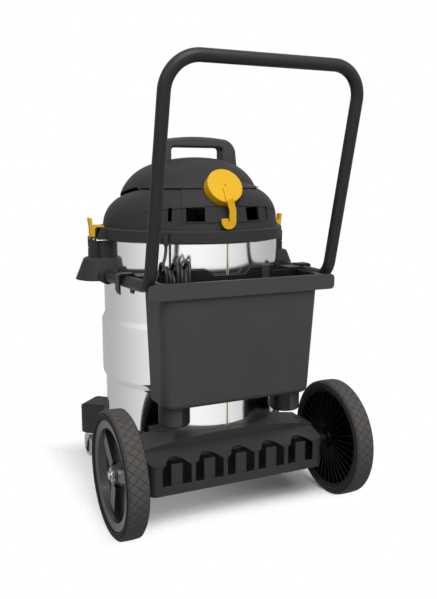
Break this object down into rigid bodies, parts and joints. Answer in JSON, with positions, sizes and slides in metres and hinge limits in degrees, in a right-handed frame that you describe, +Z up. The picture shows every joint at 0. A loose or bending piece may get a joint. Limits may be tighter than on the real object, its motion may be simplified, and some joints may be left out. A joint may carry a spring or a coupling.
{
  "type": "shop vacuum",
  "caption": "Wet and dry shop vacuum: polished steel drum on a wheeled dolly, lift-off motor head with latches, tool basket and tall push handle.",
  "frame": {"origin": "on the floor, in the middle of the footprint", "axes": "+Z up, +Y to the rear where the push handle and the large wheels are, +X to the left of someone who faces the rear"},
  "size_m": [0.544, 0.624, 0.915],
  "materials": {
    "drum_steel": "polished",
    "charcoal_plastic": "fine grain",
    "black_plastic": "satin",
    "handle_tube": "semi-gloss",
    "yellow_plastic": "satin",
    "tyre_rubber": "matte",
    "grey_rubber": "matte",
    "zinc_steel": "zinc plated",
    "cord_black": "satin",
    "gasket_rubber": "matte",
    "filter_paper": "matte",
    "float_plastic": "matte",
    "switch_black": "gloss"
  },
  "bodies": {
    "cart": {"drum": "drum_steel", "inlet_port": "black_plastic", "inlet_screws": "zinc_steel", "dolly": "black_plastic", "drum_saddle": "black_plastic", "rear_axle": "zinc_steel", "axle_spacers": "black_plastic", "axle_nuts": "zinc_steel", "caster_bushes": "black_plastic", "push_handle": "handle_tube", "side_handle_left": "charcoal_plastic", "side_handle_right": "charcoal_plastic", "handle_screws": "zinc_steel", "latch_pins": "zinc_steel", "tool_basket": "charcoal_plastic", "cord_lead": "cord_black", "cord_hank": "cord_black", "plug": "cord_black"},
    "head": {"lid": "charcoal_plastic", "lid_gasket": "gasket_rubber", "vent_housing": "charcoal_plastic", "motor_hood": "charcoal_plastic", "carry_handle": "charcoal_plastic", "head_screws": "zinc_steel", "blower_port": "charcoal_plastic", "switch_bezel": "black_plastic", "fan_housing": "black_plastic", "motor_can": "zinc_steel", "filter_cage": "black_plastic", "filter_paper": "filter_paper", "filter_caps": "gasket_rubber", "filter_knob": "black_plastic", "cord_gland": "cord_black"},
    "rotor": {"rotor": "zinc_steel"},
    "float": {"float_ball": "float_plastic"},
    "cap": {"blower_cap": "yellow_plastic"},
    "switch": {"power_switch": "switch_black"},
    "latch_left": {"latch_left": "yellow_plastic"},
    "latch_right": {"latch_right": "yellow_plastic"},
    "wheel_left": {"tyre_left": "tyre_rubber", "hub_left": "black_plastic"},
    "wheel_right": {"tyre_right": "tyre_rubber", "hub_right": "black_plastic"},
    "caster_left": {"caster_fork_left": "zinc_steel", "caster_pin_left": "zinc_steel"},
    "caster_right": {"caster_fork_right": "zinc_steel", "caster_pin_right": "zinc_steel"},
    "caster_wheel_left": {"caster_core_left": "black_plastic", "caster_tyre_left": "grey_rubber"},
    "caster_wheel_right": {"caster_core_right": "black_plastic", "caster_tyre_right": "grey_rubber"}
  },
  "joints": [
    {"name": "head_lift", "type": "slide", "parent": "cart", "child": "head", "axis": [0, 0, 1], "range_m": [0, 0.32]},
    {"name": "rotor_spin", "type": "hinge", "parent": "head", "child": "rotor", "pos_m": [0, -0.068, 0.65], "axis": [0, 0, 1], "continuous": true},
    {"name": "float_rise", "type": "slide", "parent": "head", "child": "float", "axis": [0, 0, 1], "range_m": [0, 0.088]},
    {"name": "cap_pull", "type": "slide", "parent": "head", "child": "cap", "axis": [0, 0.866, 0.5], "range_m": [0, 0.06]},
    {"name": "switch_rock", "type": "hinge", "parent": "head", "child": "switch", "pos_m": [0, -0.21513, 0.67277], "axis": [1, 0, 0], "range_deg": [-9, 0]},
    {"name": "latch_left_swing", "type": "hinge", "parent": "cart", "child": "latch_left", "pos_m": [0.2285, -0.068, 0.57], "axis": [0, 1, 0], "range_deg": [0, 75]},
    {"name": "latch_right_swing", "type": "hinge", "parent": "cart", "child": "latch_right", "pos_m": [-0.2285, -0.068, 0.57], "axis": [0, -1, 0], "range_deg": [0, 75]},
    {"name": "wheel_left_roll", "type": "hinge", "parent": "cart", "child": "wheel_left", "pos_m": [0.25, 0.158, 0.127], "axis": [1, 0, 0], "continuous": true},
    {"name": "wheel_right_roll", "type": "hinge", "parent": "cart", "child": "wheel_right", "pos_m": [-0.25, 0.158, 0.127], "axis": [1, 0, 0], "continuous": true},
    {"name": "caster_left_swivel", "type": "hinge", "parent": "cart", "child": "caster_left", "pos_m": [0.188, -0.258, 0.08], "axis": [0, 0, 1], "continuous": true},
    {"name": "caster_right_swivel", "type": "hinge", "parent": "cart", "child": "caster_right", "pos_m": [-0.188, -0.258, 0.08], "axis": [0, 0, 1], "continuous": true},
    {"name": "caster_left_roll", "type": "hinge", "parent": "caster_left", "child": "caster_wheel_left", "pos_m": [0.188, -0.281, 0.031], "axis": [1, 0, 0], "continuous": true},
    {"name": "caster_right_roll", "type": "hinge", "parent": "caster_right", "child": "caster_wheel_right", "pos_m": [-0.188, -0.281, 0.031], "axis": [1, 0, 0], "continuous": true}
  ]
}
